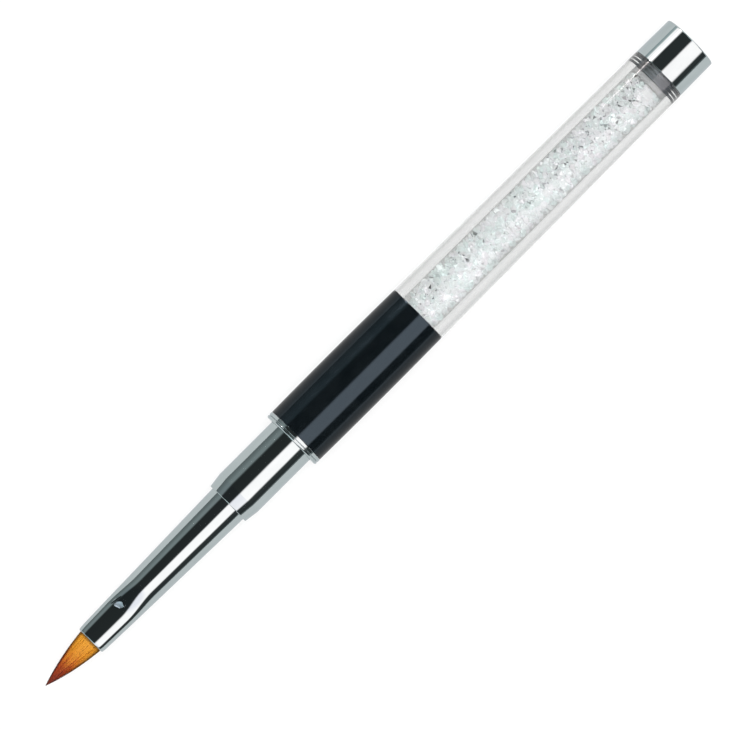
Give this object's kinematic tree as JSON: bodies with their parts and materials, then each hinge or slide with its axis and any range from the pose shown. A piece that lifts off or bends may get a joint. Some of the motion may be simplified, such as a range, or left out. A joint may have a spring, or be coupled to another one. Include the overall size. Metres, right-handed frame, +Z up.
{
  "type": "acrylic nail brush",
  "caption": "Acrylic nail brush: pointed sable tuft in a crimped bright ferrule, capped-seat collar, black grip sleeve and clear tapered handle filled with cut stones.",
  "frame": {"origin": "on the surface the brush lies on, under the middle of its length and under its axis", "axes": "+X from the hair tip to the end cap, parallel to the brush's axis; +Z up, out of the ferrule's flat that carries the staking dimple"},
  "size_m": [0.1152, 0.0086, 0.0087],
  "materials": {
    "sable_hair": "fine reddish-brown hair, orange at the root and dark at the tip",
    "binding_thread": "waxed thread",
    "set_resin": "clear set resin",
    "bright_plate": "mirror-bright plating",
    "dull_plate": "turned, dull plated",
    "core_alloy": "turned",
    "gloss_black": "gloss",
    "clear_acrylic": "polished clear acrylic",
    "cut_stones": "faceted clear stones"
  },
  "bodies": {
    "handle": {"hair_root": "sable_hair", "binding_thread": "binding_thread", "root_glue": "set_resin", "ferrule": "bright_plate", "collar": "bright_plate", "ferrule_core": "core_alloy", "flange_ring": "bright_plate", "grip_sleeve": "gloss_black", "sleeve_adhesive": "set_resin", "acrylic_tube": "clear_acrylic", "tube_front_plug": "gloss_black", "crystal_fill": "cut_stones", "plug_adhesive": "set_resin", "end_plug": "dull_plate", "end_cap": "bright_plate"},
    "tuft": {"hair_tuft": "sable_hair"}
  },
  "joints": [
    {"name": "tuft_bend", "type": "hinge", "parent": "handle", "child": "tuft", "pos_m": [-0.05095, 0, 0.00434], "axis": [0, 1, 0], "range_deg": [-35, 35], "stiffness_Nm_per_rad": 0.0003}
  ]
}
